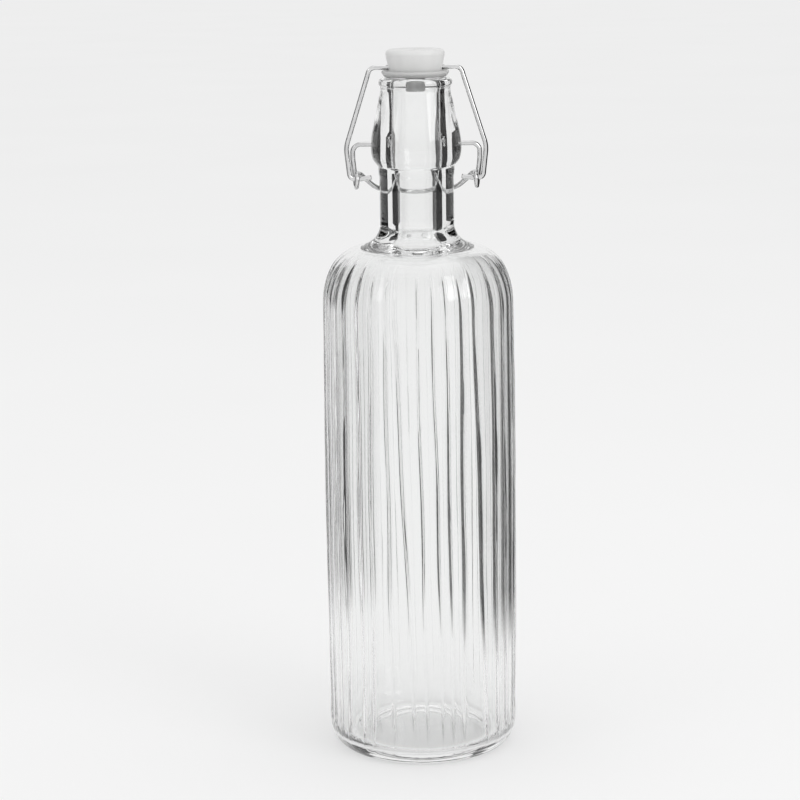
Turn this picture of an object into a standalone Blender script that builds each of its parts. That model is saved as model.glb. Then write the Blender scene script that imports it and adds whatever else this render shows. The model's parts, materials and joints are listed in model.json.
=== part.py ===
"""Swing-top glass growler: fluted bottle, wire closure, stopper and seal.

Frame: metres, +Z up, origin at the centre of the base. X runs through the two
dimples that carry the lever, and the lever's thumb loop lies behind the neck, at +Y.
The closure is modelled locked shut.
"""
import math

import bmesh
import bpy
from mathutils import Matrix, Vector

# ---------------------------------------------------------------- driving dimensions
GAP = 0.0003                 # clearance between neighbouring solids

# Glass, outer surface
BODY_R = 0.0427              # widest body radius, over the ridges
BODY_MID_Z = 0.105           # height of the widest point
BODY_HALF_H = 0.092          # from there to the shoulder's spring line
BODY_TAPER = 0.00065         # how much the radius falls over BODY_HALF_H
SHOULDER_Z = BODY_MID_Z + BODY_HALF_H
SHOULDER_CENTRE_R = 0.0181   # centre of the shoulder's rounded section
SHOULDER_A = 0.0240          # its half width
SHOULDER_B = 0.0272          # its height
SHOULDER_POWER = 2.3         # 2 is an ellipse, more is squarer
HEEL_A = 0.0067              # heel rounding, across
HEEL_B = 0.0128              # heel rounding, up
NECK_R = 0.0160
NECK_BOTTOM_Z = 0.2330
NECK_COVE_R = 0.0094         # hollow curve from the neck into the shoulder
NECK_BEAD_Z = 0.2543         # small step in the neck under the barrel
BARREL_BOTTOM_Z = 0.2580
BARREL_R = 0.01945
BARREL_WIDE_Z = 0.2668
BARREL_TOP_R = 0.0150
BARREL_TOP_Z = 0.2905
RIM_R = 0.0158
RIM_Z = 0.2954
BEARING_OUT_R = BODY_R - BODY_TAPER - HEEL_A
BEARING_IN_R = 0.0290
PUSH_UP = 0.0030             # hollow under the base

# Glass, inner surface
WALL = 0.0031
FLOOR_Z = 0.0048
INNER_HEEL_A = 0.0060         # inner heel rounding, across
INNER_HEEL_B = 0.0066         # inner heel rounding, up
NECK_BORE_R = 0.0083
MOUTH_BORE_R = 0.0102
BORE_STEP_Z = 0.2568
BORE_STEP_H = 0.0034
INNER_COVE_R = 0.0090

# Flutes in the outer surface
FLUTES = 36
FLUTE_DEPTH = 0.0006
FLUTE_LOW_Z = 0.004
FLUTE_HIGH_Z = 0.2225
STEPS = 2 * FLUTES           # one vertex on each ridge and one in each valley

# Wire closure
WIRE_R = 0.00105
WIRE_BEVEL_RES = 2
PIVOT_Z = 0.2671             # lever axis, through the dimples
DIMPLE_R = WIRE_R + 0.00055
DIMPLE_END_X = 0.0169
LEVER_END_X = DIMPLE_END_X + 0.0006
LEVER_SIDE_X = 0.0272
LEVER_BEND_R = 0.0034
HOOK_R = 0.01475             # lever axis to bail pin
OVER_CENTRE = math.radians(6.0)
PIN_Y = -HOOK_R * math.sin(OVER_CENTRE)
PIN_Z = PIVOT_Z - HOOK_R * math.cos(OVER_CENTRE)
EYE_R = 0.0030               # centre line of the eye
EYE_Z = PIN_Z - (EYE_R - 2 * WIRE_R - 0.00035)
EYE_OUT_X = 0.0263
EYE_IN_X = 0.0251
LOOP_R = NECK_R + WIRE_R + 0.00055
LOOP_BACK_Z = 0.2451
BAR_Z = 0.2996               # bail bar, through the stopper
BAIL_TOP_X = 0.0193
BAIL_WIDE_X = 0.0300
BAIL_WIDE_S = 0.0135         # along the bail, from its pins
BAIL_FOOT_X = 0.0285
BAIL_BENDS = (0.0022, 0.0120, 0.0030)
TAIL_X = 0.0192
TAIL_RISE = 0.0007

# Stopper and seal
CAP_TOP_Z = 0.3073
CAP_TOP_R = 0.0127
CAP_LOW_R = 0.0114
CAP_BOTTOM_Z = 0.2977
CAP_EDGE_R = 0.0020
STEM_R = 0.00415
STEM_BOTTOM_Z = 0.2891
SEAL_BOTTOM_Z = RIM_Z + GAP
SEAL_SEAT_Z = CAP_BOTTOM_Z - GAP
SEAL_LIP_Z = BAR_Z - WIRE_R - GAP
SEAL_TOP_R = 0.0144
SEAL_BOTTOM_R = 0.0134
STOPPER_STEPS = 40


# ---------------------------------------------------------------- scene and materials
def clear_scene():
    for obj in list(bpy.data.objects):
        bpy.data.objects.remove(obj, do_unlink=True)


def make_collection(name):
    coll = bpy.data.collections.new(name)
    bpy.context.scene.collection.children.link(coll)
    return coll


def make_material(name, colour, roughness, metallic=0.0, transmission=0.0, ior=1.5):
    mat = bpy.data.materials.new(name)
    mat.use_nodes = True
    shader = mat.node_tree.nodes["Principled BSDF"]
    shader.inputs["Base Color"].default_value = (*colour, 1.0)
    shader.inputs["Roughness"].default_value = roughness
    shader.inputs["Metallic"].default_value = metallic
    shader.inputs["Transmission Weight"].default_value = transmission
    shader.inputs["IOR"].default_value = ior
    return mat


# ---------------------------------------------------------------- outlines
def ellipse_arc(centre, half_w, half_h, start_deg, end_deg, count, power=2.0):
    """Points of a (super)ellipse arc in the r-z plane, ends included."""
    points = []
    for i in range(count + 1):
        angle = math.radians(start_deg + (end_deg - start_deg) * i / count)
        c, s = math.cos(angle), math.sin(angle)
        r = centre[0] + half_w * math.copysign(abs(c) ** (2.0 / power), c)
        z = centre[1] + half_h * math.copysign(abs(s) ** (2.0 / power), s)
        points.append((r, z))
    return points


def body_radius(z):
    """Outer radius of the glass over the ridges, between heel and shoulder top."""
    if z >= SHOULDER_Z:
        rise = min(1.0, (z - SHOULDER_Z) / SHOULDER_B)
        share = (1.0 - rise ** SHOULDER_POWER) ** (1.0 / SHOULDER_POWER)
        return SHOULDER_CENTRE_R + SHOULDER_A * share
    if z <= HEEL_B:
        drop = min(1.0, (HEEL_B - z) / HEEL_B)
        return BEARING_OUT_R + HEEL_A * math.sqrt(1.0 - drop * drop)
    return BODY_R - BODY_TAPER * ((z - BODY_MID_Z) / BODY_HALF_H) ** 2


def glass_outline():
    """Closed section of the bottle, up the inside and down the outside."""
    inner_r = BODY_R - BODY_TAPER - WALL
    dome_a = SHOULDER_A - WALL
    dome_b = SHOULDER_B - WALL
    cove_z = NECK_BOTTOM_Z - NECK_COVE_R
    inside = [(0.0, FLOOR_Z + 0.0020), (0.016, FLOOR_Z + 0.0012), (0.027, FLOOR_Z + 0.0002)]
    inside += ellipse_arc((inner_r - INNER_HEEL_A, FLOOR_Z + INNER_HEEL_B), INNER_HEEL_A, INNER_HEEL_B, -90, 0, 5)
    inside += [(inner_r + 0.0004, BODY_MID_Z)]
    inside += ellipse_arc((SHOULDER_CENTRE_R, SHOULDER_Z), dome_a, dome_b, 0, 78, 5, SHOULDER_POWER)
    inside += ellipse_arc((NECK_BORE_R + INNER_COVE_R, cove_z - WALL + INNER_COVE_R),
                          INNER_COVE_R, INNER_COVE_R, 260, 180, 3)
    inside += [(NECK_BORE_R, BORE_STEP_Z), (MOUTH_BORE_R, BORE_STEP_Z + BORE_STEP_H)]
    inside += [(MOUTH_BORE_R, RIM_Z - 0.0018), (MOUTH_BORE_R + 0.0012, RIM_Z)]
    rim = ellipse_arc((RIM_R - 0.0021, RIM_Z - 0.0021), 0.0021, 0.0021, 90, -45, 5)
    barrel = [(BARREL_TOP_R, BARREL_TOP_Z), (0.0163, 0.2838), (0.0178, 0.2768)]
    barrel += [(0.0191, 0.2705), (BARREL_R, BARREL_WIDE_Z), (0.0193, 0.2634)]
    barrel += [(0.0187, 0.2608), (0.0175, 0.2590), (0.0166, BARREL_BOTTOM_Z)]
    neck = [(0.0163, 0.2576), (0.0163, NECK_BEAD_Z), (NECK_R, NECK_BEAD_Z - 0.0010)]
    neck += ellipse_arc((NECK_R + NECK_COVE_R, NECK_BOTTOM_Z), NECK_COVE_R, NECK_COVE_R, 180, 262, 4)
    dome = ellipse_arc((SHOULDER_CENTRE_R, SHOULDER_Z), SHOULDER_A, SHOULDER_B, 68, 0, 7, SHOULDER_POWER)
    side = [(body_radius(z), z) for z in (0.150, BODY_MID_Z, 0.058)]
    heel = ellipse_arc((BEARING_OUT_R, HEEL_B), HEEL_A, HEEL_B, 0, -90, 5)
    under = [(BEARING_IN_R, 0.0), (0.0170, PUSH_UP * 0.75), (0.0, PUSH_UP)]
    return inside + rim + barrel + neck + dome + side + heel + under


def turned_solid(name, outline, steps, closed, material, collection):
    """Turn an outline in the r-z plane about Z into one closed mesh."""
    mesh = bpy.data.meshes.new(name)
    edges = [(i, i + 1) for i in range(len(outline) - 1)]
    if closed:
        edges.append((len(outline) - 1, 0))
    mesh.from_pydata([(r, 0.0, z) for r, z in outline], edges, [])
    obj = bpy.data.objects.new(name, mesh)
    collection.objects.link(obj)
    obj.data.materials.append(material)
    screw = obj.modifiers.new("Turn", "SCREW")
    screw.axis = "Z"
    screw.angle = math.tau
    screw.steps = steps
    screw.render_steps = steps
    screw.use_merge_vertices = True
    screw.merge_threshold = 0.00001
    return obj


def apply_modifiers(obj):
    """Replace an object's mesh by its evaluated one."""
    graph = bpy.context.evaluated_depsgraph_get()
    mesh = bpy.data.meshes.new_from_object(obj.evaluated_get(graph))
    obj.modifiers.clear()
    obj.data = mesh
    return mesh


def shade_round(obj, limit_deg=40.0):
    obj.data.shade_smooth()
    obj.data.set_sharp_from_angle(angle=math.radians(limit_deg))


def cutter_cylinder(name, radius, x_from, x_to, z, collection):
    """A cylinder along X that cuts a hole and is not part of the object."""
    length = x_to - x_from
    place = Matrix.Translation(((x_from + x_to) / 2, 0.0, z)) @ Matrix.Rotation(math.pi / 2, 4, "Y")
    shape = bmesh.new()
    bmesh.ops.create_cone(shape, cap_ends=True, segments=16, radius1=radius, radius2=radius,
                          depth=length, matrix=place)
    mesh = bpy.data.meshes.new(name)
    shape.to_mesh(mesh)
    shape.free()
    obj = bpy.data.objects.new(name, mesh)
    collection.objects.link(obj)
    obj.hide_render = True
    obj.display_type = "WIRE"
    return obj


def cut(obj, cutter):
    boolean = obj.modifiers.new("Cut " + cutter.name, "BOOLEAN")
    boolean.operation = "DIFFERENCE"
    boolean.solver = "EXACT"
    boolean.object = cutter


# ---------------------------------------------------------------- wire paths
def rounded_path(corners, radii, bend_steps=5):
    """A path through corner points, with an arc of the given radius at each inner corner."""
    path = [corners[0]]
    for before, corner, after, radius in zip(corners, corners[1:], corners[2:], radii):
        to_before = (before - corner).normalized()
        to_after = (after - corner).normalized()
        half = to_before.angle(to_after) / 2
        bisector = (to_before + to_after).normalized()
        centre = corner + bisector * (radius / math.sin(half))
        start = (corner + to_before * (radius / math.tan(half)) - centre).normalized()
        end = (corner + to_after * (radius / math.tan(half)) - centre).normalized()
        for i in range(bend_steps + 1):
            path.append(centre + start.slerp(end, i / bend_steps) * radius)
    path.append(corners[-1])
    return path


def smooth_path(points, per_span=3):
    """A Catmull-Rom curve through the points, without the first and last."""
    path = []
    for i in range(1, len(points) - 2):
        a, b, c, d = points[i - 1:i + 3]
        for j in range(per_span):
            t = j / per_span
            path.append(0.5 * (2 * b + (c - a) * t + (2 * a - 5 * b + 4 * c - d) * t * t
                               + (3 * b - a - 3 * c + d) * t ** 3))
    path.append(points[-2])
    return path


def mirrored(half):
    """The half path at +X, followed by its mirror image back to -X."""
    other = [Vector((-p.x, p.y, p.z)) for p in reversed(half)]
    if half[-1].x < 1e-6:
        other = other[1:]
    return half + other


def wire(name, path, material, collection):
    """A round bent wire along the path, with flat ends."""
    curve = bpy.data.curves.new(name, "CURVE")
    curve.dimensions = "3D"
    curve.bevel_depth = WIRE_R
    curve.bevel_resolution = WIRE_BEVEL_RES
    curve.use_fill_caps = True
    spline = curve.splines.new("POLY")
    spline.points.add(len(path) - 1)
    for point, place in zip(spline.points, path):
        point.co = (*place, 1.0)
    spline.use_smooth = True
    obj = bpy.data.objects.new(name, curve)
    obj.data.materials.append(material)
    collection.objects.link(obj)
    return obj


def lever_half():
    """Dimple, side strand, eye around the bail pin, and round the back of the neck."""
    side = rounded_path([Vector((LEVER_END_X, 0, PIVOT_Z)), Vector((LEVER_SIDE_X, 0, PIVOT_Z)),
                         Vector((LEVER_SIDE_X, 0, PIVOT_Z - 0.0060))], [LEVER_BEND_R])
    eye = []
    for i in range(13):
        turn = math.radians(10 - 280 * i / 12)
        x = EYE_OUT_X + (EYE_IN_X - EYE_OUT_X) * i / 12
        eye.append(Vector((x, PIN_Y + EYE_R * math.cos(turn), EYE_Z + EYE_R * math.sin(turn))))
    start_angle = math.radians(22)
    loop = []
    for i in range(9):
        angle = start_angle + (math.pi / 2 - start_angle) * i / 8
        fall = math.sin((angle - start_angle) / (math.pi / 2 - start_angle) * math.pi / 2)
        loop.append(Vector((LOOP_R * math.cos(angle), LOOP_R * math.sin(angle),
                            0.2474 + (LOOP_BACK_Z - 0.2474) * fall)))
    loop[-1].x = 0.0
    link = [eye[-2], eye[-1], Vector((0.0241, 0.0006, 0.2543)), Vector((0.0230, 0.0019, 0.2531)),
            Vector((0.0212, 0.0029, 0.2513)), Vector((0.0187, 0.0046, 0.2490)), loop[0], loop[1]]
    return side + eye[:-1] + smooth_path(link, 2)[:-1] + loop


def bail_half():
    """Tail inside the eye, foot, side arm, top corner and the bar through the stopper."""
    up = Vector((0, -PIN_Y, BAR_Z - PIN_Z))
    length = up.length
    up.normalize()
    pin = Vector((0, PIN_Y, PIN_Z))

    def place(x, along):
        return Vector((x, 0, 0)) + pin + up * along

    corners = [place(0.0238, 0), place(BAIL_FOOT_X, 0), place(BAIL_WIDE_X, BAIL_WIDE_S),
               place(BAIL_TOP_X, length), place(0.0, length)]
    return [place(TAIL_X, TAIL_RISE)] + rounded_path(corners, BAIL_BENDS)


# ---------------------------------------------------------------- the five pieces
def build_bottle(parts, cutters):
    glass = make_material("clear_glass", (0.94, 0.96, 0.96), 0.03, transmission=1.0, ior=1.5)
    bottle = turned_solid("glass_bottle", glass_outline(), STEPS, False, glass, parts)
    mesh = apply_modifiers(bottle)
    for vertex in mesh.vertices:
        radius = math.hypot(vertex.co.x, vertex.co.y)
        z = vertex.co.z
        if not FLUTE_LOW_Z < z < FLUTE_HIGH_Z or radius < body_radius(z) - WALL / 2:
            continue
        angle = math.atan2(vertex.co.y, vertex.co.x)
        fade = min(1.0, (z - FLUTE_LOW_Z) / 0.010, (FLUTE_HIGH_Z - z) / 0.008)
        depth = FLUTE_DEPTH * fade * (1.0 - math.cos(FLUTES * angle)) / 2
        vertex.co.x *= 1.0 - depth / radius
        vertex.co.y *= 1.0 - depth / radius
    for name, side in (("right_dimple", 1), ("left_dimple", -1)):
        ends = sorted((side * DIMPLE_END_X, side * (BARREL_R + 0.004)))
        cut(bottle, cutter_cylinder(name, DIMPLE_R, *ends, PIVOT_Z, cutters))
    shade_round(bottle)


def build_lever(parts, steel):
    axis = bpy.data.objects.new("lever_axis", None)
    axis.location = (0, 0, PIVOT_Z)
    parts.objects.link(axis)
    lever = wire("locking_lever", mirrored(lever_half()), steel, parts)
    lever.parent = axis
    lever.matrix_parent_inverse = Matrix.Translation((0, 0, -PIVOT_Z))


def build_bail(parts, steel):
    axis = bpy.data.objects.new("bail_axis", None)
    axis.location = (0, PIN_Y, PIN_Z)
    parts.objects.link(axis)
    bail = wire("top_bail", mirrored(bail_half()), steel, parts)
    bail.parent = axis
    bail.matrix_parent_inverse = Matrix.Translation((0, -PIN_Y, -PIN_Z))


def build_stopper(parts, cutters):
    axis = bpy.data.objects.new("stopper_axis", None)
    axis.location = (0, 0, BAR_Z)
    parts.objects.link(axis)
    back = Matrix.Translation((0, 0, -BAR_Z))

    plastic = make_material("white_plastic", (0.86, 0.86, 0.85), 0.35)
    outline = [(0.0, CAP_TOP_Z), (0.0060, CAP_TOP_Z)]
    outline += ellipse_arc((CAP_TOP_R - CAP_EDGE_R, CAP_TOP_Z - CAP_EDGE_R), CAP_EDGE_R, CAP_EDGE_R, 90, -5, 5)
    outline += [(CAP_LOW_R, CAP_BOTTOM_Z + 0.0012), (CAP_LOW_R - 0.0004, CAP_BOTTOM_Z)]
    outline += [(STEM_R, CAP_BOTTOM_Z), (STEM_R, STEM_BOTTOM_Z + 0.0004)]
    outline += [(STEM_R - 0.0004, STEM_BOTTOM_Z), (0.0, STEM_BOTTOM_Z)]
    cap = turned_solid("stopper_cap", outline, STOPPER_STEPS, False, plastic, parts)
    apply_modifiers(cap)
    hole = cutter_cylinder("bar_hole", WIRE_R + GAP, -CAP_TOP_R - 0.002, CAP_TOP_R + 0.002, BAR_Z, cutters)
    cut(cap, hole)
    shade_round(cap)

    silicone = make_material("grey_silicone", (0.70, 0.70, 0.69), 0.5)
    lip_r = CAP_LOW_R + 0.0004
    ring = [(SEAL_TOP_R - 0.0004, SEAL_LIP_Z), (SEAL_TOP_R, SEAL_LIP_Z - 0.0004)]
    ring += [(SEAL_TOP_R, SEAL_LIP_Z - 0.0010), (SEAL_BOTTOM_R, SEAL_BOTTOM_Z + 0.0003)]
    ring += [(SEAL_BOTTOM_R - 0.0005, SEAL_BOTTOM_Z), (STEM_R + GAP, SEAL_BOTTOM_Z)]
    ring += [(STEM_R + GAP, SEAL_SEAT_Z), (lip_r, SEAL_SEAT_Z), (lip_r, SEAL_LIP_Z)]
    seal = turned_solid("seal_washer", ring, STOPPER_STEPS, True, silicone, parts)
    apply_modifiers(seal)
    shade_round(seal)
    for piece in (cap, seal):
        piece.parent = axis
        piece.matrix_parent_inverse = back


def main():
    clear_scene()
    parts = make_collection("growler")
    cutters = make_collection("cutters")
    steel = make_material("lever_steel", (0.72, 0.72, 0.72), 0.2, metallic=1.0)
    bail_steel = make_material("bail_steel", (0.74, 0.74, 0.74), 0.2, metallic=1.0)
    build_bottle(parts, cutters)
    build_lever(parts, steel)
    build_bail(parts, bail_steel)
    build_stopper(parts, cutters)


main()
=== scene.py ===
"""Looks of the swing-top growler: fluted clear glass, wire closure, stopper and seal.

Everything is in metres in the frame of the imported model: +Z up, origin at the centre of
the base, X through the two dimples that carry the lever.
"""
import json
import math
import random

import bmesh
import bpy
import numpy as np
from mathutils import Matrix, Vector


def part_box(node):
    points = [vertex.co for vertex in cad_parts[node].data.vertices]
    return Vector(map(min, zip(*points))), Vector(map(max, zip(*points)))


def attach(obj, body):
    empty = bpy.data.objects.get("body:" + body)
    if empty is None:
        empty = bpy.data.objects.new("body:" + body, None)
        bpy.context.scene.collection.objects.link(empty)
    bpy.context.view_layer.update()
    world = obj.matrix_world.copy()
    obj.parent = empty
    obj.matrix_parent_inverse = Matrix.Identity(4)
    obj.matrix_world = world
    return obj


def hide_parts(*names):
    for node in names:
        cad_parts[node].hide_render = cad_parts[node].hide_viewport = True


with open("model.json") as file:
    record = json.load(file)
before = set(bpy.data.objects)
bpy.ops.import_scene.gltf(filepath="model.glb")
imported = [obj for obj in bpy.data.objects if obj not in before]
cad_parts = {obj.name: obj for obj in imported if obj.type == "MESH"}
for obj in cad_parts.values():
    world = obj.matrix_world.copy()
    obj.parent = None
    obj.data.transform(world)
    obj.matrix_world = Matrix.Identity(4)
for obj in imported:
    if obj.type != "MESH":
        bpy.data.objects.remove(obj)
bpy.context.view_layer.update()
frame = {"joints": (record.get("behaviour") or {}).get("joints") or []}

joint_at = {joint["name"]: Vector(joint["pos_m"]) for joint in frame["joints"]}
rng = random.Random(7)

# ---------------------------------------------------------------- sizes from the frame
_, GLASS_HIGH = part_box("glass_bottle")
CAP_LOW, CAP_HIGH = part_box("stopper_cap")
SEAL_LOW, SEAL_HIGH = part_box("seal_washer")
BODY_R = GLASS_HIGH.x                 # over the ridges
RIM_Z = GLASS_HIGH.z
PIVOT_Z = joint_at["lever_swing"].z   # lever axis, through the dimples
PIN_Y, PIN_Z = joint_at["bail_pivot"].yz
BAR_Z = joint_at["stopper_pivot"].z   # bail bar, through the stopper
GAP = SEAL_LOW.z - RIM_Z              # clearance between neighbours

# Glass, outer surface
BODY_MID_Z = 0.105
BODY_HALF_H = 0.092
BODY_TAPER = 0.00065
SHOULDER_Z = BODY_MID_Z + BODY_HALF_H
SHOULDER_CENTRE_R = 0.0181
SHOULDER_A = 0.0240
SHOULDER_B = 0.0272
SHOULDER_POWER = 2.3
HEEL_A = 0.0067
HEEL_B = 0.0128
NECK_R = 0.0160
NECK_BOTTOM_Z = 0.2330
NECK_COVE_R = 0.0094
NECK_BEAD_Z = 0.2543
BARREL_BOTTOM_Z = 0.2580
BARREL_R = 0.01945
BARREL_WIDE_Z = 0.2668
BARREL_TOP_R = 0.0150
BARREL_TOP_Z = 0.2905
BARREL_PROFILE = ((BARREL_TOP_R, BARREL_TOP_Z), (0.0163, 0.2838), (0.0178, 0.2768), (0.0191, 0.2705),
                  (BARREL_R, BARREL_WIDE_Z), (0.0193, 0.2634), (0.0187, 0.2608), (0.0175, 0.2590),
                  (0.0166, BARREL_BOTTOM_Z))
RIM_R = 0.0158
RIM_BEAD_R = 0.0021
BEARING_OUT_R = BODY_R - BODY_TAPER - HEEL_A
BEARING_IN_R = 0.0290
PUSH_UP = 0.0030

# Glass, inner surface
WALL = 0.0031
FLOOR_Z = 0.0048
FLOOR_PROFILE = ((0.0004, 0.0020), (0.008, 0.0018), (0.016, 0.0012), (0.027, 0.0002))   # r, rise
WALL_BULGE = 0.0004
INNER_HEEL_A = 0.0060
INNER_HEEL_B = 0.0066
NECK_BORE_R = 0.0083
MOUTH_BORE_R = 0.0102
BORE_STEP_Z = 0.2568
BORE_STEP_H = 0.0034
INNER_COVE_R = 0.0090

# Ridges in the glass: angle from the front at the top and at the bottom in degrees, and strength
FRONT_RIDGES = (
    (-80, -80, 0.55), (-70.5, -70.5, 0.7), (-60.5, -60.5, 0.95), (-51, -52, 1.15),
    (-40, -38.7, 1.0), (-30.5, -31.8, 1.05), (-21, -18.5, 0.65), (-15, -4.6, 0.60),
    (-1.5, 2.3, 0.50), (7.5, 12.5, 0.54), (15.8, 18.7, 0.65), (25.4, 25.8, 0.95),
    (34.4, 42, 0.95), (49, 52, 1.0), (59.8, 61.3, 0.75), (71.8, 73, 0.6), (81.5, 82, 0.5))
BACK_RIDGES = 18
BACK_STRENGTH = (0.12, 0.40)
BACK_STRAY_TOP = 1.8                  # degrees either way
BACK_STRAY_BOTTOM = 2.6
RIDGE_PACE = (0.7, 1.3)
RIDGE_SWAY = 0.35                     # degrees either way
RIDGE_SWAY_PACE = 60
RIDGE_SWELLS = ((0.20, 55), (0.10, 190))
RIDGE_H = 0.00105
RIDGE_THIN_W = 0.00020
RIDGE_EXTRA_W = 0.00060
PANEL_DIP = 0.00008
RIDGE_LOW_Z = 0.004
RIDGE_FOOT_H = 0.016                  # a ridge rises to its full height over this much
RIDGE_FADE_Z = 0.2090
RIDGE_HIGH_Z = 0.2225
SIDE_STEPS = (0.3, 0.6, 0.95, 1.35, 1.8, 2.5)   # in ridge half widths

# Wire
WIRE_R = 0.00105
WIRE_SIDES = 20
WIRE_STEP = 0.0012
WIRE_END_DOME = 0.00028
DIMPLE_R = WIRE_R + 0.00055
DIMPLE_END_X = 0.0169
LEVER_END_X = DIMPLE_END_X + 0.0006
LEVER_SIDE_X = 0.0272
LEVER_BEND_R = 0.0034
EYE_R = 0.0030
EYE_Z = PIN_Z - (EYE_R - 2 * WIRE_R - 0.00035)
EYE_OUT_X = 0.0263
EYE_IN_X = 0.0251
LOOP_R = NECK_R + WIRE_R + 0.00055
LOOP_SIDE_Z = 0.2474
LOOP_BACK_Z = 0.2451
LOOP_START_DEG = 22
LOOP_LINK = ((0.0241, 0.0006, 0.2543), (0.0230, 0.0019, 0.2531), (0.0212, 0.0029, 0.2513),
             (0.0187, 0.0046, 0.2490))
BAIL_TOP_X = 0.0193
BAIL_WIDE_X = 0.0300
BAIL_WIDE_S = 0.0135
BAIL_FOOT_X = 0.0285
BAIL_BENDS = (0.0022, 0.0120, 0.0030)
BAIL_END_X = 0.0238
TAIL_X = 0.0192
TAIL_RISE = 0.0007
LEVER_TONE = 0.70
BAIL_TONE = 0.76

# Stopper and seal
CAP_TOP_Z = CAP_HIGH.z
CAP_TOP_R = CAP_HIGH.x
CAP_LOW_R = 0.0114
CAP_BOTTOM_Z = 0.2977
CAP_EDGE_R = 0.0020
STEM_R = 0.00415
STEM_BOTTOM_Z = CAP_LOW.z
SEAL_BOTTOM_Z = SEAL_LOW.z
SEAL_LIP_Z = SEAL_HIGH.z
SEAL_SEAT_Z = CAP_BOTTOM_Z - GAP
SEAL_TOP_R = SEAL_HIGH.x
SEAL_BOTTOM_R = 0.0134

# Dark cards round the bottle that paint dark reflections into glass and wire: rows of (height, distance
# from the axis, first and last angle from +Y)
RIGHT_CARD = ((0.0, 0.155, 21, 110), (0.06, 0.18, 22, 117), (0.14, 0.205, 30, 119),
              (0.50, 0.205, 30, 119))
LEFT_CARD = ((0.0, 0.21, -59.9, -75.1), (0.04, 0.26, -57.6, -77.4), (0.08, 0.32, -55.6, -79.4),
             (0.15, 0.36, -54.8, -80.2), (0.18, 0.37, -35, -80.5), (0.50, 0.50, -32, -80.5))
LOW_CARD = ((0.0, 0.20, -17, -28), (0.14, 0.20, -21, -24))
SIDE_CARD = ((0.0, 0.22, -105, -120), (0.50, 0.40, -99, -122))
# Painted light: the foot of a card glows as bright as the floor, fading out up to CARD_FADE_Z.
CARD_FADE_Z = 0.024      # the foot of a card fades into the floor below this height
CARD_FOOT_PAINTED_GLOW = 0.85
CARD_STEPS = 12

# Floor and world
FLOOR_RADIUS = 14.0
FLOOR_GLOW = 0.51
WORLD_GREY = 0.86

# Camera
CAMERA_AT = Vector((-0.0085, -0.968, 0.3613))
CAMERA_PITCH = math.radians(77.97)
CAMERA_ROLL = math.radians(-0.833)
CAMERA_LENS = 101.6


# ---------------------------------------------------------------- node helpers
def new_material(name):
    mat = bpy.data.materials.new(name)
    mat.use_nodes = True
    tree = mat.node_tree
    return mat, tree, tree.nodes["Principled BSDF"]


def object_noise(tree, scale, detail=3.0, stretch=(1, 1, 1), roughness=0.5):
    """Noise over object coordinates, stretched along the axes."""
    coords = tree.nodes.new("ShaderNodeTexCoord")
    mapping = tree.nodes.new("ShaderNodeMapping")
    mapping.inputs["Scale"].default_value = stretch
    noise = tree.nodes.new("ShaderNodeTexNoise")
    noise.inputs["Scale"].default_value = scale
    noise.inputs["Detail"].default_value = detail
    noise.inputs["Roughness"].default_value = roughness
    tree.links.new(coords.outputs["Object"], mapping.inputs["Vector"])
    tree.links.new(mapping.outputs["Vector"], noise.inputs["Vector"])
    return noise.outputs["Fac"]


def uv_noise(tree, scale, stretch, detail=2.0):
    coords = tree.nodes.new("ShaderNodeTexCoord")
    mapping = tree.nodes.new("ShaderNodeMapping")
    mapping.inputs["Scale"].default_value = stretch
    noise = tree.nodes.new("ShaderNodeTexNoise")
    noise.inputs["Scale"].default_value = scale
    noise.inputs["Detail"].default_value = detail
    tree.links.new(coords.outputs["UV"], mapping.inputs["Vector"])
    tree.links.new(mapping.outputs["Vector"], noise.inputs["Vector"])
    return noise.outputs["Fac"]


def ramp(tree, source, stops):
    """A colour ramp through (position, colour) stops."""
    made = tree.nodes.new("ShaderNodeValToRGB")
    elements = made.color_ramp.elements
    while len(elements) < len(stops):
        elements.new(0.5)
    for element, (position, colour) in zip(elements, stops):
        element.position = position
        element.color = (*colour, 1.0)
    tree.links.new(source, made.inputs["Fac"])
    return made.outputs["Color"]


def bump(tree, source, strength, distance, normal=None):
    made = tree.nodes.new("ShaderNodeBump")
    made.inputs["Strength"].default_value = strength
    made.inputs["Distance"].default_value = distance
    tree.links.new(source, made.inputs["Height"])
    if normal is not None:
        tree.links.new(normal, made.inputs["Normal"])
    return made.outputs["Normal"]


def map_range(tree, source, low, high, to_low, to_high):
    made = tree.nodes.new("ShaderNodeMapRange")
    limits = (("From Min", low), ("From Max", high), ("To Min", to_low), ("To Max", to_high))
    for name, value in limits:
        made.inputs[name].default_value = value
    tree.links.new(source, made.inputs["Value"])
    return made.outputs["Result"]


# ---------------------------------------------------------------- materials
def glass_material():
    """Clear glass with slow thickness waves and a few vertical flow marks."""
    mat, tree, shader = new_material("growler_glass")
    shader.inputs["Base Color"].default_value = (0.970, 0.973, 0.971, 1)
    shader.inputs["Transmission Weight"].default_value = 1.0
    shader.inputs["IOR"].default_value = 1.5
    waves = object_noise(tree, 1.0, 2.0, (55, 55, 14))
    flow = object_noise(tree, 1.0, 3.0, (240, 240, 16))
    fine = map_range(tree, object_noise(tree, 160, 2.0), 0.3, 0.7, 0.0, 0.03)
    tree.links.new(fine, shader.inputs["Roughness"])
    first = bump(tree, waves, 0.12, 0.0006)
    tree.links.new(bump(tree, flow, 0.04, 0.00020, first), shader.inputs["Normal"])
    return mat


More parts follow.
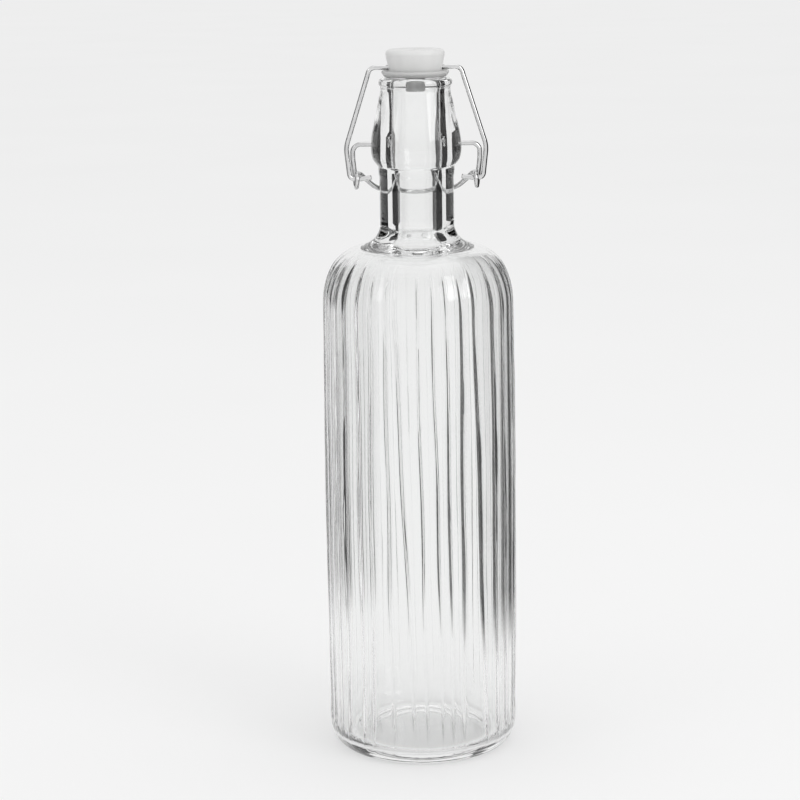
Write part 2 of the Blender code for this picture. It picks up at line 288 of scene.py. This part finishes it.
def steel_material(name, tone):
    """Bright drawn wire: long fine draw lines and slightly uneven polish."""
    mat, tree, shader = new_material(name)
    shader.inputs["Metallic"].default_value = 1.0
    lines = uv_noise(tree, 1.0, (40, 220, 1), 3.0)
    patches = object_noise(tree, 260, 3.0)
    low = tuple(tone * share for share in (0.90, 0.90, 0.905))
    high = (tone, tone, tone)
    tree.links.new(ramp(tree, patches, ((0.35, low), (0.65, high))), shader.inputs["Base Color"])
    tree.links.new(map_range(tree, lines, 0.3, 0.7, 0.05, 0.12), shader.inputs["Roughness"])
    tree.links.new(bump(tree, lines, 0.10, 0.00003), shader.inputs["Normal"])
    return mat


def plastic_material():
    """White moulded plastic: satin, faintly mottled, light passes a little way in."""
    mat, tree, shader = new_material("stopper_plastic")
    mottle = object_noise(tree, 320, 4.0)
    cloud = object_noise(tree, 60, 2.0)
    colour = ramp(tree, cloud, ((0.3, (0.66, 0.66, 0.655)), (0.7, (0.70, 0.70, 0.695))))
    tree.links.new(colour, shader.inputs["Base Color"])
    tree.links.new(map_range(tree, mottle, 0.3, 0.7, 0.30, 0.42), shader.inputs["Roughness"])
    shader.inputs["Subsurface Weight"].default_value = 0.35
    shader.inputs["Subsurface Radius"].default_value = (0.003, 0.003, 0.003)
    shader.inputs["Subsurface Scale"].default_value = 1.0
    shader.inputs["IOR"].default_value = 1.46
    tree.links.new(bump(tree, mottle, 0.12, 0.00008), shader.inputs["Normal"])
    return mat


def silicone_material():
    """Grey translucent silicone with a matt skin and fine dust."""
    mat, tree, shader = new_material("seal_silicone")
    skin = object_noise(tree, 700, 3.0)
    cloud = object_noise(tree, 90, 2.0)
    colour = ramp(tree, cloud, ((0.3, (0.63, 0.63, 0.625)), (0.7, (0.68, 0.68, 0.675))))
    tree.links.new(colour, shader.inputs["Base Color"])
    tree.links.new(map_range(tree, skin, 0.3, 0.7, 0.38, 0.52), shader.inputs["Roughness"])
    shader.inputs["Transmission Weight"].default_value = 0.25
    shader.inputs["Subsurface Weight"].default_value = 0.3
    shader.inputs["Subsurface Radius"].default_value = (0.002, 0.002, 0.002)
    shader.inputs["Subsurface Scale"].default_value = 1.0
    shader.inputs["IOR"].default_value = 1.41
    tree.links.new(bump(tree, skin, 0.15, 0.00006), shader.inputs["Normal"])
    return mat


# ---------------------------------------------------------------- outlines
def ellipse_arc(centre, half_w, half_h, start_deg, end_deg, count, power=2.0):
    """Points of a (super)ellipse arc in the r-z plane, ends included."""
    points = []
    for i in range(count + 1):
        angle = math.radians(start_deg + (end_deg - start_deg) * i / count)
        c, s = math.cos(angle), math.sin(angle)
        r = centre[0] + half_w * math.copysign(abs(c) ** (2.0 / power), c)
        z = centre[1] + half_h * math.copysign(abs(s) ** (2.0 / power), s)
        points.append((r, z))
    return points


def soft_curve(points, per_span=5):
    """A Catmull-Rom curve through outline points, ends included."""
    ends = [tuple(2 * a - b for a, b in zip(points[0], points[1])),
            tuple(2 * a - b for a, b in zip(points[-1], points[-2]))]
    padded = [ends[0], *points, ends[1]]
    curve = []
    for i in range(1, len(padded) - 2):
        a, b, c, d = (Vector(p) for p in padded[i - 1:i + 3])
        for j in range(per_span):
            t = j / per_span
            spot = 0.5 * (2 * b + (c - a) * t + (2 * a - 5 * b + 4 * c - d) * t * t
                          + (3 * b - a - 3 * c + d) * t ** 3)
            curve.append(tuple(spot))
    curve.append(tuple(points[-1]))
    return curve


def line(start, end, count):
    """Evenly spaced points from start to end, without the end."""
    return [tuple(a + (b - a) * i / count for a, b in zip(start, end)) for i in range(count)]


def body_radius(z):
    """Outer radius of the glass over the ridges, between heel and shoulder top."""
    if z >= SHOULDER_Z:
        rise = min(1.0, (z - SHOULDER_Z) / SHOULDER_B)
        share = (1.0 - rise ** SHOULDER_POWER) ** (1.0 / SHOULDER_POWER)
        return SHOULDER_CENTRE_R + SHOULDER_A * share
    if z <= HEEL_B:
        drop = min(1.0, (HEEL_B - z) / HEEL_B)
        return BEARING_OUT_R + HEEL_A * math.sqrt(1.0 - drop * drop)
    return BODY_R - BODY_TAPER * ((z - BODY_MID_Z) / BODY_HALF_H) ** 2


def inner_outline():
    """The hollow of the bottle, from the middle of the floor up to the mouth."""
    inner_r = BODY_R - BODY_TAPER - WALL
    cove_z = NECK_BOTTOM_Z - NECK_COVE_R
    floor_points = [(r, FLOOR_Z + rise) for r, rise in FLOOR_PROFILE]
    floor = soft_curve([*floor_points, (inner_r - INNER_HEEL_A, FLOOR_Z)], 6)[:-1]
    heel = ellipse_arc((inner_r - INNER_HEEL_A, FLOOR_Z + INNER_HEEL_B),
                       INNER_HEEL_A, INNER_HEEL_B, -90, 0, 22)
    side = []
    for i in range(1, 30):
        z = FLOOR_Z + INNER_HEEL_B + (SHOULDER_Z - FLOOR_Z - INNER_HEEL_B) * i / 30
        bulge = WALL_BULGE * math.sin(math.pi * (z - FLOOR_Z) / (SHOULDER_Z - FLOOR_Z))
        side.append((inner_r + bulge, z))
    dome = ellipse_arc((SHOULDER_CENTRE_R, SHOULDER_Z), SHOULDER_A - WALL, SHOULDER_B - WALL,
                       0, 78, 22, SHOULDER_POWER)
    cove = ellipse_arc((NECK_BORE_R + INNER_COVE_R, cove_z - WALL + INNER_COVE_R),
                       INNER_COVE_R, INNER_COVE_R, 260, 180, 12)
    bore = line((NECK_BORE_R, cove_z - WALL + INNER_COVE_R + 0.002), (NECK_BORE_R, BORE_STEP_Z), 8)
    middle_r = (NECK_BORE_R + MOUTH_BORE_R) / 2
    mouth = soft_curve([(NECK_BORE_R, BORE_STEP_Z), (middle_r, BORE_STEP_Z + BORE_STEP_H / 2),
                        (MOUTH_BORE_R, BORE_STEP_Z + BORE_STEP_H)], 6)[:-1]
    mouth += line((MOUTH_BORE_R, BORE_STEP_Z + BORE_STEP_H), (MOUTH_BORE_R, RIM_Z - 0.0018), 16)
    lip = ellipse_arc((MOUTH_BORE_R + 0.0014, RIM_Z - 0.0016), 0.0014, 0.0016, 180, 90, 8)
    return floor + heel + side + dome + cove + bore + mouth + lip


def outer_outline():
    """The outside of the bottle, from the mouth down to the middle of the base."""
    rim = ellipse_arc((RIM_R - RIM_BEAD_R, RIM_Z - RIM_BEAD_R), RIM_BEAD_R, RIM_BEAD_R, 90, -45, 18)
    barrel = soft_curve(list(BARREL_PROFILE), 7)
    neck = soft_curve([(0.0164, 0.2574), (0.0163, NECK_BEAD_Z + 0.0006),
                       (NECK_R, NECK_BEAD_Z - 0.0010)], 4)
    neck += line((NECK_R, NECK_BEAD_Z - 0.0020), (NECK_R, NECK_BOTTOM_Z), 10)
    neck += ellipse_arc((NECK_R + NECK_COVE_R, NECK_BOTTOM_Z), NECK_COVE_R, NECK_COVE_R, 180, 262, 16)
    dome = ellipse_arc((SHOULDER_CENTRE_R, SHOULDER_Z), SHOULDER_A, SHOULDER_B, 70, 0, 30, SHOULDER_POWER)
    side = []
    for i in range(1, 52):
        z = SHOULDER_Z + (HEEL_B - SHOULDER_Z) * i / 52
        side.append((body_radius(z), z))
    heel = ellipse_arc((BEARING_OUT_R, HEEL_B), HEEL_A, HEEL_B, 0, -90, 18)
    under = soft_curve([(BEARING_IN_R + 0.0015, 0.0), (BEARING_IN_R, 0.0002), (0.0250, PUSH_UP * 0.35),
                        (0.0170, PUSH_UP * 0.75), (0.0090, PUSH_UP * 0.95), (0.0004, PUSH_UP)], 6)
    return rim + barrel + neck + dome + side + heel + under


# ---------------------------------------------------------------- the glass
def ridge_lines():
    """(angle at the top, at the bottom, strength, phase, pace) of each ridge, in order round the glass."""
    lines = [(math.radians(a), math.radians(b), h) for a, b, h in FRONT_RIDGES]
    start, end = lines[-1][0], lines[0][0] + math.tau
    for i in range(1, BACK_RIDGES + 1):
        middle = start + (end - start) * i / (BACK_RIDGES + 1)
        top = middle + math.radians(rng.uniform(-BACK_STRAY_TOP, BACK_STRAY_TOP))
        bottom = middle + math.radians(rng.uniform(-BACK_STRAY_BOTTOM, BACK_STRAY_BOTTOM))
        lines.append((top, bottom, rng.uniform(*BACK_STRENGTH)))
    return [(a, b, h, rng.uniform(0, math.tau), rng.uniform(*RIDGE_PACE)) for a, b, h in lines]


def smooth_step(low, high, value):
    t = min(1.0, max(0.0, (value - low) / (high - low)))
    return t * t * (3 - 2 * t)


def ring_angles(lines, z):
    """One ring's vertices: their angles, distances from the nearest ridge, and (ridge, gap width)."""
    share = 1.0 - min(1.0, max(0.0, z / SHOULDER_Z))
    count = len(lines)
    half_widths = [RIDGE_THIN_W + RIDGE_EXTRA_W * high for _, _, high, _, _ in lines]
    at = []
    for top, bottom, _, phase, pace in lines:
        sway = math.radians(RIDGE_SWAY) * math.sin(phase + pace * z * RIDGE_SWAY_PACE)
        at.append(top + (bottom - top) * share + sway)
    angles, offsets, owners = [], [], []
    for i in range(count):
        here = at[i]
        there = at[(i + 1) % count] + (math.tau if i + 1 == count else 0.0)
        width = (there - here) * BODY_R
        reach = 0.46 * width / SIDE_STEPS[-1]
        here_w = min(half_widths[i], reach)
        there_w = min(half_widths[(i + 1) % count], reach)
        steps = [0.0] + [s * here_w for s in SIDE_STEPS] + [width / 2]
        steps += [width - s * there_w for s in reversed(SIDE_STEPS)]
        for step in steps:
            angles.append(here + step / BODY_R)
            near = min(step, width - step)
            offsets.append(near)
            owners.append((i if step <= width / 2 else (i + 1) % count, width))
    return angles, offsets, owners


def ridge_height(lines, owner, z):
    """Height of a ridge at z: it swells and thins a little on its way down."""
    _, _, high, phase, pace = lines[owner]
    (slow, slow_pace), (quick, quick_pace) = RIDGE_SWELLS
    swell = (1.0 + slow * math.sin(phase * 1.7 + pace * z * slow_pace)
             + quick * math.sin(phase + z * quick_pace))
    return RIDGE_H * high * swell


def glass_ring(lines, radius, z, fluted):
    """One ring of vertices; fluted rings carry the ridges and the shallow panels between them."""
    angles, offsets, owners = ring_angles(lines, z)
    ring = []
    fade = 0.0
    if fluted:
        fade = smooth_step(RIDGE_LOW_Z, RIDGE_LOW_Z + RIDGE_FOOT_H, z)
        fade *= 1 - smooth_step(RIDGE_FADE_Z, RIDGE_HIGH_Z, z)
    for angle, near, (owner, width) in zip(angles, offsets, owners):
        r = radius
        if fade > 0:
            half_w = RIDGE_THIN_W + RIDGE_EXTRA_W * lines[owner][2]
            crest = ridge_height(lines, owner, z) * math.exp(-((near / half_w) ** 2))
            dip = PANEL_DIP * math.sin(math.pi * min(1.0, near / (width / 2)) / 2)
            r += fade * (crest - dip - RIDGE_H)
        ring.append((r * math.sin(angle), -r * math.cos(angle), z))
    return ring


def turned_shell(rings):
    """Quads that join rings in order, as rows of vertex indices."""
    rows, columns = len(rings), len(rings[0])
    grid = np.arange(rows * columns).reshape(rows, columns)
    following = np.roll(grid, -1, axis=1)
    quads = np.stack([grid[:-1], following[:-1], following[1:], grid[1:]], axis=-1)
    return quads.reshape(-1, 4)


def mesh_object(name, points, faces, material, smooth=True):
    mesh = bpy.data.meshes.new(name)
    mesh.from_pydata(points, [], faces)
    mesh.validate()
    obj = bpy.data.objects.new(name, mesh)
    bpy.context.scene.collection.objects.link(obj)
    obj.data.materials.append(material)
    if smooth:
        mesh.shade_smooth()
    return obj


def fix_normals(mesh):
    shape = bmesh.new()
    shape.from_mesh(mesh)
    bmesh.ops.remove_doubles(shape, verts=shape.verts, dist=1e-7)
    bmesh.ops.recalc_face_normals(shape, faces=shape.faces)
    shape.to_mesh(mesh)
    shape.free()


def pill_cutter(name, radius, x_from, x_to, z):
    """A round-ended pin along X that presses one dimple into the glass."""
    reach = abs(x_to - x_from)
    side = math.copysign(1.0, x_to - x_from)
    outline = ellipse_arc((0.0, 0.0), radius, radius * 0.8, -89, 0, 10)
    outline = [(r, h + radius * 0.8) for r, h in outline]
    outline += [(radius, reach * 0.55), (radius * 1.1, reach * 0.72), (radius * 1.5, reach)]
    steps = 40
    points, faces = [], []
    for r, h in outline:
        for k in range(steps):
            turn = math.tau * k / steps
            points.append((x_from + side * h, r * math.cos(turn), z + r * math.sin(turn)))
    for i in range(len(outline) - 1):
        for k in range(steps):
            faces.append((i * steps + k, i * steps + (k + 1) % steps,
                          (i + 1) * steps + (k + 1) % steps, (i + 1) * steps + k))
    faces.append(tuple(range(steps)))
    faces.append(tuple(range(len(points) - steps, len(points))))
    mesh = bpy.data.meshes.new(name)
    mesh.from_pydata(points, [], faces)
    fix_normals(mesh)
    obj = bpy.data.objects.new(name, mesh)
    bpy.context.scene.collection.objects.link(obj)
    return obj


def apply_cuts(obj, cutters):
    for cutter in cutters:
        cut = obj.modifiers.new("cut", "BOOLEAN")
        cut.operation = "DIFFERENCE"
        cut.solver = "EXACT"
        cut.object = cutter
    graph = bpy.context.evaluated_depsgraph_get()
    mesh = bpy.data.meshes.new_from_object(obj.evaluated_get(graph))
    obj.modifiers.clear()
    obj.data = mesh
    for cutter in cutters:
        bpy.data.objects.remove(cutter, do_unlink=True)


def build_glass(material):
    lines = ridge_lines()
    rings = [glass_ring(lines, r, z, False) for r, z in inner_outline()]
    for r, z in outer_outline():
        fluted = RIDGE_LOW_Z < z < RIDGE_HIGH_Z and r > BEARING_IN_R / 2
        rings.append(glass_ring(lines, r, z, fluted))
    faces = turned_shell(rings).tolist()
    columns = len(rings[0])
    points = [point for ring in rings for point in ring]
    first_pole, last_pole = len(points), len(points) + 1
    points += [(0.0, 0.0, rings[0][0][2]), (0.0, 0.0, rings[-1][0][2])]
    last = (len(rings) - 1) * columns
    for k in range(columns):
        following = (k + 1) % columns
        faces.append((first_pole, following, k))
        faces.append((last_pole, last + k, last + following))
    glass = mesh_object("glass_bottle_clear", points, faces, material)
    fix_normals(glass.data)
    cutters = []
    for name, side in (("right_dimple", 1), ("left_dimple", -1)):
        outside = side * (BARREL_R + 0.002)
        cutters.append(pill_cutter(name, DIMPLE_R, side * DIMPLE_END_X, outside, PIVOT_Z))
    apply_cuts(glass, cutters)
    glass.data.shade_smooth()
    glass.data.set_sharp_from_angle(angle=math.radians(50))
    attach(glass, "bottle")
    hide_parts("glass_bottle")


# ---------------------------------------------------------------- wire pieces
def rounded_path(corners, radii, bend_steps=14):
    """A path through corner points, with an arc of the given radius at each inner corner."""
    path = [corners[0]]
    for before, corner, after, radius in zip(corners, corners[1:], corners[2:], radii):
        to_before = (before - corner).normalized()
        to_after = (after - corner).normalized()
        half = to_before.angle(to_after) / 2
        bisector = (to_before + to_after).normalized()
        centre = corner + bisector * (radius / math.sin(half))
        start = (corner + to_before * (radius / math.tan(half)) - centre).normalized()
        end = (corner + to_after * (radius / math.tan(half)) - centre).normalized()
        for i in range(bend_steps + 1):
            path.append(centre + start.slerp(end, i / bend_steps) * radius)
    path.append(corners[-1])
    return path


def smooth_path(points, per_span=6):
    """A Catmull-Rom curve through the points, without the first and last."""
    path = []
    for i in range(1, len(points) - 2):
        a, b, c, d = points[i - 1:i + 3]
        for j in range(per_span):
            t = j / per_span
            path.append(0.5 * (2 * b + (c - a) * t + (2 * a - 5 * b + 4 * c - d) * t * t
                               + (3 * b - a - 3 * c + d) * t ** 3))
    path.append(points[-2])
    return path


def mirrored(half):
    """The half path at +X, followed by its mirror image back to -X."""
    other = [Vector((-p.x, p.y, p.z)) for p in reversed(half)]
    if half[-1].x < 1e-6:
        other = other[1:]
    return half + other


def lever_half():
    """Dimple, side strand, eye around the bail pin, and round the back of the neck."""
    side = rounded_path([Vector((LEVER_END_X, 0, PIVOT_Z)), Vector((LEVER_SIDE_X, 0, PIVOT_Z)),
                         Vector((LEVER_SIDE_X, 0, PIVOT_Z - 0.0060))], [LEVER_BEND_R])
    eye = []
    for i in range(37):
        turn = math.radians(10 - 280 * i / 36)
        x = EYE_OUT_X + (EYE_IN_X - EYE_OUT_X) * i / 36
        eye.append(Vector((x, PIN_Y + EYE_R * math.cos(turn), EYE_Z + EYE_R * math.sin(turn))))
    start_angle = math.radians(LOOP_START_DEG)
    loop = []
    for i in range(25):
        share = i / 24
        angle = start_angle + (math.pi / 2 - start_angle) * share
        fall = math.sin(share * math.pi / 2)
        loop.append(Vector((LOOP_R * math.cos(angle), LOOP_R * math.sin(angle),
                            LOOP_SIDE_Z + (LOOP_BACK_Z - LOOP_SIDE_Z) * fall)))
    loop[-1].x = 0.0
    link = [eye[-4], eye[-1], *(Vector(spot) for spot in LOOP_LINK), loop[0], loop[3]]
    into_eye = smooth_path([side[-2], side[-1], eye[0], eye[3]], 6)
    return side[:-1] + into_eye[:-1] + eye[:-1] + smooth_path(link, 6)[:-1] + loop


def bail_half():
    """Tail inside the eye, foot, side arm, top corner and the bar through the stopper."""
    up = Vector((0, -PIN_Y, BAR_Z - PIN_Z))
    length = up.length
    up.normalize()
    pin = Vector((0, PIN_Y, PIN_Z))

    def place(x, along):
        return Vector((x, 0, 0)) + pin + up * along

    corners = [place(BAIL_END_X, 0), place(BAIL_FOOT_X, 0), place(BAIL_WIDE_X, BAIL_WIDE_S),
               place(BAIL_TOP_X, length), place(0.0, length)]
    return [place(TAIL_X, TAIL_RISE)] + rounded_path(corners, BAIL_BENDS)


def even_path(path, step):
    """The same path with points no further apart than step."""
    made = [path[0]]
    for a, b in zip(path, path[1:]):
        count = max(1, math.ceil((b - a).length / step))
        for i in range(1, count + 1):
            made.append(a.lerp(b, i / count))
    return made


def wire_object(name, path, material):
    """A round wire along the path, with filed, slightly domed ends and UVs in metres."""
    path = [p for i, p in enumerate(path) if i == 0 or (p - path[i - 1]).length > 1e-6]
    path = even_path(path, WIRE_STEP)
    tangents = []
    for i in range(len(path)):
        tangents.append((path[min(i + 1, len(path) - 1)] - path[max(i - 1, 0)]).normalized())
    side = tangents[0].orthogonal().normalized()
    rings, along = [], [0.0]
    for i, (spot, tangent) in enumerate(zip(path, tangents)):
        side = (side - tangent * side.dot(tangent)).normalized()
        rings.append((spot, tangent, side.copy(), WIRE_R))
        if i:
            along.append(along[-1] + (spot - path[i - 1]).length)
    start, end = rings[0], rings[-1]
    cap_start, cap_end = [], []
    for share in (0.35, 0.75, 0.93):
        inset = WIRE_END_DOME * math.sqrt(1 - share * share)
        cap_start.append((start[0] + start[1] * (WIRE_END_DOME - inset), *start[1:3], WIRE_R * share))
        cap_end.insert(0, (end[0] - end[1] * (WIRE_END_DOME - inset), *end[1:3], WIRE_R * share))
    rings[0] = (start[0] + start[1] * WIRE_END_DOME, *start[1:])
    rings[-1] = (end[0] - end[1] * WIRE_END_DOME, *end[1:])
    rings = cap_start + rings + cap_end
    along = [along[0]] * 3 + along + [along[-1]] * 3
    points, faces = [], []
    for spot, tangent, across, radius in rings:
        other = tangent.cross(across)
        for k in range(WIRE_SIDES):
            turn = math.tau * k / WIRE_SIDES
            points.append(spot + across * (radius * math.cos(turn)) + other * (radius * math.sin(turn)))
    for i in range(len(rings) - 1):
        for k in range(WIRE_SIDES):
            a, b = i * WIRE_SIDES + k, i * WIRE_SIDES + (k + 1) % WIRE_SIDES
            faces.append((a, b, b + WIRE_SIDES, a + WIRE_SIDES))
    faces.append(tuple(reversed(range(WIRE_SIDES))))
    faces.append(tuple(range(len(points) - WIRE_SIDES, len(points))))
    obj = mesh_object(name, points, faces, material)
    uv = obj.data.uv_layers.new(name="UVMap")
    for polygon in obj.data.polygons:
        wraps = max(i % WIRE_SIDES for i in polygon.vertices) == WIRE_SIDES - 1
        for loop_index, vertex in zip(polygon.loop_indices, polygon.vertices):
            k = vertex % WIRE_SIDES
            around = 1.0 if wraps and k == 0 else k / WIRE_SIDES
            uv.data[loop_index].uv = (along[vertex // WIRE_SIDES], around * math.tau * WIRE_R * 10)
    fix_normals(obj.data)
    obj.data.shade_smooth()
    return obj


# ---------------------------------------------------------------- stopper and seal
def turned_object(name, outline, closed, material, steps=96):
    """An outline in the r-z plane turned about Z into a closed piece."""
    points, faces, rows = [], [], []
    for r, z in outline:
        if r < 1e-6:
            rows.append([len(points)] * steps)
            points.append((0.0, 0.0, z))
            continue
        rows.append(list(range(len(points), len(points) + steps)))
        for k in range(steps):
            turn = math.tau * k / steps
            points.append((r * math.cos(turn), r * math.sin(turn), z))
    pairs = list(zip(rows, rows[1:]))
    if closed:
        pairs.append((rows[-1], rows[0]))
    for low, high in pairs:
        for k in range(steps):
            j = (k + 1) % steps
            corners = []
            for index in (low[k], low[j], high[j], high[k]):
                if index not in corners:
                    corners.append(index)
            if len(corners) > 2:
                faces.append(tuple(corners))
    obj = mesh_object(name, points, faces, material)
    fix_normals(obj.data)
    return obj


def build_cap(material):
    """Stopper head with a soft top edge, a shallow dish and gate mark on top, and its stem."""
    edge = CAP_EDGE_R
    top = soft_curve([(0.0, CAP_TOP_Z - 0.00045), (0.0009, CAP_TOP_Z - 0.00045),
                      (0.0012, CAP_TOP_Z - 0.00030), (0.0016, CAP_TOP_Z - 0.00042),
                      (0.0050, CAP_TOP_Z - 0.00030), (0.0088, CAP_TOP_Z - 0.00004)], 4)[:-1]
    outline = top + ellipse_arc((CAP_TOP_R - edge, CAP_TOP_Z - edge), edge, edge, 90, -5, 12)
    outline += line((CAP_TOP_R - 0.0001, CAP_TOP_Z - edge - 0.0006),
                    (CAP_LOW_R + 0.00005, CAP_BOTTOM_Z + 0.0016), 8)
    outline += ellipse_arc((CAP_LOW_R - 0.0005, CAP_BOTTOM_Z + 0.0005), 0.0005, 0.0005, 10, -90, 5)
    outline += line((CAP_LOW_R - 0.0012, CAP_BOTTOM_Z), (STEM_R + 0.0004, CAP_BOTTOM_Z), 3)
    outline += ellipse_arc((STEM_R + 0.0003, CAP_BOTTOM_Z - 0.0003), 0.0003, 0.0003, 90, 180, 3)
    outline += line((STEM_R, CAP_BOTTOM_Z - 0.0008), (STEM_R, STEM_BOTTOM_Z + 0.0010), 3)
    outline += ellipse_arc((STEM_R - 0.0007, STEM_BOTTOM_Z + 0.0007), 0.0007, 0.0007, 0, -90, 6)
    outline += [(STEM_R - 0.0014, STEM_BOTTOM_Z), (0.0, STEM_BOTTOM_Z)]
    cap = turned_object("stopper_cap_white", outline, False, material)
    hole = wire_hole("bar_hole", WIRE_R + 0.0003, CAP_TOP_R + 0.002)
    apply_cuts(cap, [hole])
    cap.data.shade_smooth()
    cap.data.set_sharp_from_angle(angle=math.radians(38))
    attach(cap, "stopper")
    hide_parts("stopper_cap")


def wire_hole(name, radius, half_length):
    """A smooth round cutter along X at the bar's height."""
    shape = bmesh.new()
    place = Matrix.Translation((0, 0, BAR_Z)) @ Matrix.Rotation(math.pi / 2, 4, "Y")
    bmesh.ops.create_cone(shape, cap_ends=True, segments=32, radius1=radius, radius2=radius,
                          depth=2 * half_length, matrix=place)
    mesh = bpy.data.meshes.new(name)
    shape.to_mesh(mesh)
    shape.free()
    obj = bpy.data.objects.new(name, mesh)
    bpy.context.scene.collection.objects.link(obj)
    return obj


def build_seal(material):
    """Silicone washer: tapered flange, raised lip round the cap's foot, soft edges."""
    lip_r = CAP_LOW_R + 0.0004
    flange = soft_curve([(SEAL_TOP_R - 0.0005, SEAL_LIP_Z), (SEAL_TOP_R - 0.0001, SEAL_LIP_Z - 0.0002),
                         (SEAL_TOP_R, SEAL_LIP_Z - 0.0006), (SEAL_TOP_R - 0.0001, SEAL_LIP_Z - 0.0011),
                         (SEAL_BOTTOM_R + 0.0004, SEAL_BOTTOM_Z + 0.0008),
                         (SEAL_BOTTOM_R, SEAL_BOTTOM_Z + 0.0003),
                         (SEAL_BOTTOM_R - 0.0004, SEAL_BOTTOM_Z)], 4)
    inside = [(STEM_R + 0.0006, SEAL_BOTTOM_Z), (STEM_R + 0.0003, SEAL_BOTTOM_Z + 0.0003)]
    inside += [(STEM_R + 0.0003, SEAL_SEAT_Z), (lip_r - 0.0002, SEAL_SEAT_Z)]
    inside += [(lip_r, SEAL_SEAT_Z + 0.0002), (lip_r, SEAL_LIP_Z - 0.0002), (lip_r + 0.0002, SEAL_LIP_Z)]
    seal = turned_object("seal_washer_silicone", flange + inside, True, material)
    seal.data.shade_smooth()
    seal.data.set_sharp_from_angle(angle=math.radians(50))
    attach(seal, "stopper")
    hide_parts("seal_washer")


# ---------------------------------------------------------------- stage, light and camera
def stage_material():
    mat, tree, shader = new_material("stage_paper")
    shader.inputs["Roughness"].default_value = 0.9
    shader.inputs["Specular IOR Level"].default_value = 0.0
    grain = object_noise(tree, 3.0, 2.0)
    colour = ramp(tree, grain, ((0.3, (0.395, 0.395, 0.395)), (0.7, (0.405, 0.405, 0.405))))
    tree.links.new(colour, shader.inputs["Base Color"])
    shader.inputs["Emission Color"].default_value = (1, 1, 1, 1)
    shader.inputs["Emission Strength"].default_value = FLOOR_GLOW
    return mat


def card_material():
    """Nearly black, for painted dark reflections, with a foot that glows as bright as the floor as painted
    light.
    """
    mat, tree, shader = new_material("card_painted_dark_reflection")
    # painted dark reflection: nearly black, seen only by glass and wire
    shader.inputs["Base Color"].default_value = (0.015, 0.015, 0.015, 1)
    shader.inputs["Roughness"].default_value = 1.0
    shader.inputs["Specular IOR Level"].default_value = 0.0
    shader.inputs["Emission Color"].default_value = (1, 1, 1, 1)
    coords = tree.nodes.new("ShaderNodeTexCoord")
    split = tree.nodes.new("ShaderNodeSeparateXYZ")
    tree.links.new(coords.outputs["Object"], split.inputs["Vector"])
    # painted glow: emission at the card's foot, fading out with height so it matches the floor
    painted_glow = map_range(tree, split.outputs["Z"], 0.0, CARD_FADE_Z, CARD_FOOT_PAINTED_GLOW, 0.0)
    tree.links.new(painted_glow, shader.inputs["Emission Strength"])
    return mat


def build_stage():
    """A wide pale floor, and curved dark cards round the bottle that only glass and wire see: painted dark
    reflections.

    The cards on the left are narrow, to stay out of sight in the views from the right.
    """
    bpy.ops.mesh.primitive_circle_add(vertices=96, radius=FLOOR_RADIUS, fill_type="NGON")
    floor = bpy.context.object
    floor.name = "studio_floor"
    floor.data.materials.append(stage_material())
    card = card_material()
    for name, rows in (("card_right", RIGHT_CARD), ("card_left", LEFT_CARD), ("card_low", LOW_CARD),
                       ("card_side", SIDE_CARD)):
        points, faces = [], []
        for z, distance, first, last in rows:
            for k in range(CARD_STEPS + 1):
                angle = math.radians(first + (last - first) * k / CARD_STEPS)
                points.append((distance * math.sin(angle), distance * math.cos(angle), z))
        for row in range(len(rows) - 1):
            for k in range(CARD_STEPS):
                corner = row * (CARD_STEPS + 1) + k
                faces.append((corner, corner + 1, corner + CARD_STEPS + 2, corner + CARD_STEPS + 1))
        flag = mesh_object(name, points, faces, card, False)
        # hidden from the camera, diffuse light and shadows, so the cards only paint dark reflections into
        # glass and wire
        flag.visible_camera = False
        flag.visible_diffuse = False
        flag.visible_shadow = False


def area_light(name, place, target, size, power):
    data = bpy.data.lights.new(name, "AREA")
    data.shape = "RECTANGLE"
    data.size, data.size_y = size
    data.energy = power
    obj = bpy.data.objects.new(name, data)
    obj.location = place
    obj.rotation_mode = "QUATERNION"
    obj.rotation_quaternion = (Vector(target) - Vector(place)).to_track_quat("-Z", "Y")
    bpy.context.scene.collection.objects.link(obj)


def build_light():
    world = bpy.data.worlds.new("studio")
    world.use_nodes = True
    background = world.node_tree.nodes["Background"]
    background.inputs["Color"].default_value = (WORLD_GREY, WORLD_GREY, WORLD_GREY, 1)
    background.inputs["Strength"].default_value = 1.0
    bpy.context.scene.world = world
    middle = (0, 0, 0.16)
    area_light("softbox_left", (-1.15, -0.78, 0.88), middle, (0.5, 0.8), 1.2)
    area_light("softbox_right", (0.97, -0.85, 0.90), middle, (0.75, 0.85), 5.2)
    area_light("top_box", (0.1, 0.2, 1.7), middle, (1.0, 1.0), 1.6)


def build_camera():
    data = bpy.data.cameras.new("camera")
    data.lens = CAMERA_LENS
    data.sensor_width = 36.0
    data.clip_start = 0.02
    data.clip_end = 60
    camera = bpy.data.objects.new("camera", data)
    camera.location = CAMERA_AT
    turn = Matrix.Rotation(CAMERA_PITCH, 4, "X") @ Matrix.Rotation(CAMERA_ROLL, 4, "Z")
    camera.rotation_euler = turn.to_euler()
    bpy.context.scene.collection.objects.link(camera)
    bpy.context.scene.camera = camera


# ---------------------------------------------------------------- the picture
def build_wires():
    lever_steel = steel_material("lever_steel", LEVER_TONE)
    lever = wire_object("locking_lever_wire", mirrored(lever_half()), lever_steel)
    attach(lever, "lever")
    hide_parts("locking_lever")
    bail = wire_object("top_bail_wire", mirrored(bail_half()), steel_material("bail_steel", BAIL_TONE))
    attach(bail, "bail")
    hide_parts("top_bail")


build_stage()
build_light()
build_camera()
build_glass(glass_material())
build_wires()
build_cap(plastic_material())
build_seal(silicone_material())
bpy.context.scene.view_settings.view_transform = "Standard"
bpy.context.scene.cycles.max_bounces = 24
bpy.context.scene.cycles.glossy_bounces = 16
bpy.context.scene.cycles.transmission_bounces = 24
